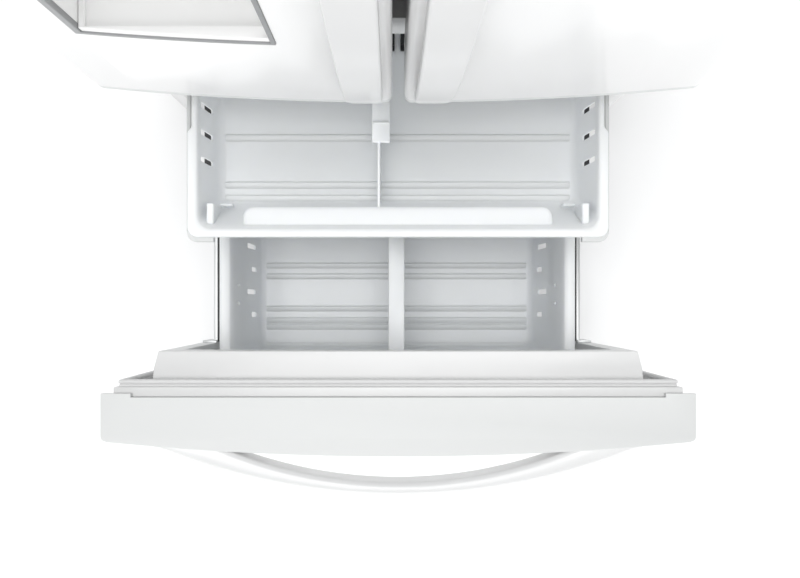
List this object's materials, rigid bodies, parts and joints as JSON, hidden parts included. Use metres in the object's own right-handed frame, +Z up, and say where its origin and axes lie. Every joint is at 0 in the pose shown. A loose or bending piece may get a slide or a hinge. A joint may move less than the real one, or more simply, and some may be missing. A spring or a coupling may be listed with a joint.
{
  "type": "french door refrigerator",
  "caption": "French door refrigerator with a dispenser in the left door, bowed handles, and a bottom freezer drawer standing open over its sliding baskets.",
  "frame": {"origin": "centre of the whole object's box on the floor, with the freezer drawer standing open", "axes": "+Z up from the floor, +X to the right of someone facing the doors, doors face -Y"},
  "size_m": [0.908, 1.4619, 1.772],
  "materials": {
    "white_enamel": "smooth low-gloss enamel",
    "galvanised_steel": "galvanised sheet",
    "black_steel": "black painted steel",
    "white_plastic": "moulded satin plastic",
    "liner_plastic": "vacuum-formed liner",
    "handle_plastic": "painted smooth",
    "gray_plastic": "satin gray",
    "light_gray_plastic": "satin light gray",
    "black_plastic": "fine grain",
    "gasket_vinyl": "soft vinyl",
    "black_rubber": "moulded rubber",
    "zinc_steel": "zinc plated",
    "aluminium_fin": "bare aluminium",
    "shelf_glass": "clear tempered glass",
    "clear_plastic": "clear polystyrene",
    "basket_plastic": "translucent bluish white",
    "light_lens": "frosted lens"
  },
  "bodies": {
    "cabinet": {"cabinet_shell": "white_enamel", "base_frame": "black_steel", "fresh_food_liner": "liner_plastic", "freezer_liner": "liner_plastic", "center_rail": "white_enamel", "toe_grille": "light_gray_plastic", "leveling_legs": "zinc_steel", "rear_panels": "galvanised_steel", "condensing_unit": "black_steel", "evaporator": "aluminium_fin", "air_covers": "liner_plastic", "power_inlet": "black_rubber", "water_valve": "white_plastic", "door_hinges": "zinc_steel", "hinge_covers": "white_plastic", "glass_shelves": "shelf_glass", "shelf_frames": "white_plastic", "ceiling_light": "light_lens", "fixed_rails": "zinc_steel", "wall_brackets": "zinc_steel"},
    "rollers": {"rear_rollers": "black_plastic"},
    "condenser_fan": {"condenser_fan": "black_plastic"},
    "evaporator_fan": {"evaporator_fan": "white_plastic"},
    "left_crisper": {"left_crisper": "clear_plastic"},
    "right_crisper": {"right_crisper": "clear_plastic"},
    "left_door": {"left_door_skin": "white_enamel", "left_door_liner": "liner_plastic", "left_door_dikes": "liner_plastic", "ice_room": "liner_plastic", "left_door_gasket": "gasket_vinyl", "left_door_caps": "white_plastic", "left_handle": "handle_plastic", "dispenser_fascia": "gray_plastic", "dispenser_housing": "light_gray_plastic", "left_door_bins": "clear_plastic"},
    "water_button": {"water_button": "gray_plastic"},
    "ice_button": {"ice_button": "gray_plastic"},
    "light_button": {"light_button": "gray_plastic"},
    "paddle": {"dispenser_paddle": "gray_plastic"},
    "drip_tray": {"drip_tray": "light_gray_plastic"},
    "center_flap": {"center_flap": "white_plastic"},
    "right_door": {"right_door_skin": "white_enamel", "right_door_liner": "liner_plastic", "right_door_gasket": "gasket_vinyl", "right_door_caps": "white_plastic", "right_handle": "handle_plastic", "right_door_bins": "clear_plastic"},
    "dairy_cover": {"dairy_cover": "clear_plastic"},
    "freezer_drawer": {"freezer_door_skin": "white_enamel", "freezer_door_liner": "liner_plastic", "freezer_door_gasket": "gasket_vinyl", "freezer_door_caps": "white_plastic", "freezer_handle": "handle_plastic", "lower_basket": "basket_plastic", "drawer_frame": "zinc_steel"},
    "basket_divider": {"basket_divider": "basket_plastic"},
    "middle_rails": {"middle_rails": "black_steel"},
    "upper_basket": {"upper_basket": "basket_plastic", "upper_rails": "zinc_steel"},
    "upper_divider": {"upper_divider": "basket_plastic"}
  },
  "joints": [
    {"name": "left_door_hinge", "type": "hinge", "parent": "cabinet", "child": "left_door", "pos_m": [-0.436, -0.054, 1.221], "axis": [0, 0, 1], "range_deg": [-115, 0]},
    {"name": "right_door_hinge", "type": "hinge", "parent": "cabinet", "child": "right_door", "pos_m": [0.436, -0.054, 1.221], "axis": [0, 0, 1], "range_deg": [0, 115]},
    {"name": "center_flap_hinge", "type": "hinge", "parent": "left_door", "child": "center_flap", "pos_m": [-0.04, 0.003, 1.2125], "axis": [0, 0, 1], "range_deg": [-90, 0]},
    {"name": "drawer_slide", "type": "slide", "parent": "cabinet", "child": "freezer_drawer", "axis": [0, -1, 0], "range_m": [-0.537, 0]},
    {"name": "middle_rail_slide", "type": "slide", "parent": "cabinet", "child": "middle_rails", "axis": [0, -1, 0], "range_m": [-0.2685, 0]},
    {"name": "upper_basket_slide", "type": "slide", "parent": "cabinet", "child": "upper_basket", "axis": [0, -1, 0], "range_m": [-0.36516, 0]},
    {"name": "lower_divider_slide", "type": "slide", "parent": "freezer_drawer", "child": "basket_divider", "axis": [1, 0, 0], "range_m": [-0.15, 0.15]},
    {"name": "upper_divider_slide", "type": "slide", "parent": "upper_basket", "child": "upper_divider", "axis": [1, 0, 0], "range_m": [-0.12, 0.18]},
    {"name": "left_crisper_slide", "type": "slide", "parent": "cabinet", "child": "left_crisper", "axis": [0, -1, 0], "range_m": [0, 0.035]},
    {"name": "right_crisper_slide", "type": "slide", "parent": "cabinet", "child": "right_crisper", "axis": [0, -1, 0], "range_m": [0, 0.05]},
    {"name": "dairy_cover_hinge", "type": "hinge", "parent": "right_door", "child": "dairy_cover", "pos_m": [0.221, -0.004, 1.617], "axis": [1, 0, 0], "range_deg": [0, 30]},
    {"name": "water_button_press", "type": "slide", "parent": "left_door", "child": "water_button", "axis": [0, 1, 0], "range_m": [0, 0.0015], "stiffness_N_per_m": 400},
    {"name": "ice_button_press", "type": "slide", "parent": "left_door", "child": "ice_button", "axis": [0, 1, 0], "range_m": [0, 0.0015], "stiffness_N_per_m": 400},
    {"name": "light_button_press", "type": "slide", "parent": "left_door", "child": "light_button", "axis": [0, 1, 0], "range_m": [0, 0.0015], "stiffness_N_per_m": 400},
    {"name": "paddle_swing", "type": "hinge", "parent": "left_door", "child": "paddle", "pos_m": [-0.265, -0.039, 1.33], "axis": [1, 0, 0], "range_deg": [0, 8], "stiffness_Nm_per_rad": 0.5},
    {"name": "drip_tray_slide", "type": "slide", "parent": "left_door", "child": "drip_tray", "axis": [0, -1, 0], "range_m": [0, 0.06]},
    {"name": "condenser_fan_spin", "type": "hinge", "parent": "cabinet", "child": "condenser_fan", "pos_m": [-0.127, 0.611, 0.12], "axis": [1, 0, 0], "continuous": true},
    {"name": "evaporator_fan_spin", "type": "hinge", "parent": "cabinet", "child": "evaporator_fan", "pos_m": [0, 0.614, 0.6], "axis": [0, 1, 0], "continuous": true},
    {"name": "rear_roller_spin", "type": "hinge", "parent": "cabinet", "child": "rollers", "pos_m": [0, 0.681, 0.024], "axis": [1, 0, 0], "continuous": true}
  ],
  "couplings": [
    {"joint": "middle_rail_slide", "follows": "drawer_slide", "ratio": 0.5},
    {"joint": "upper_basket_slide", "follows": "drawer_slide", "ratio": 0.68}
  ]
}
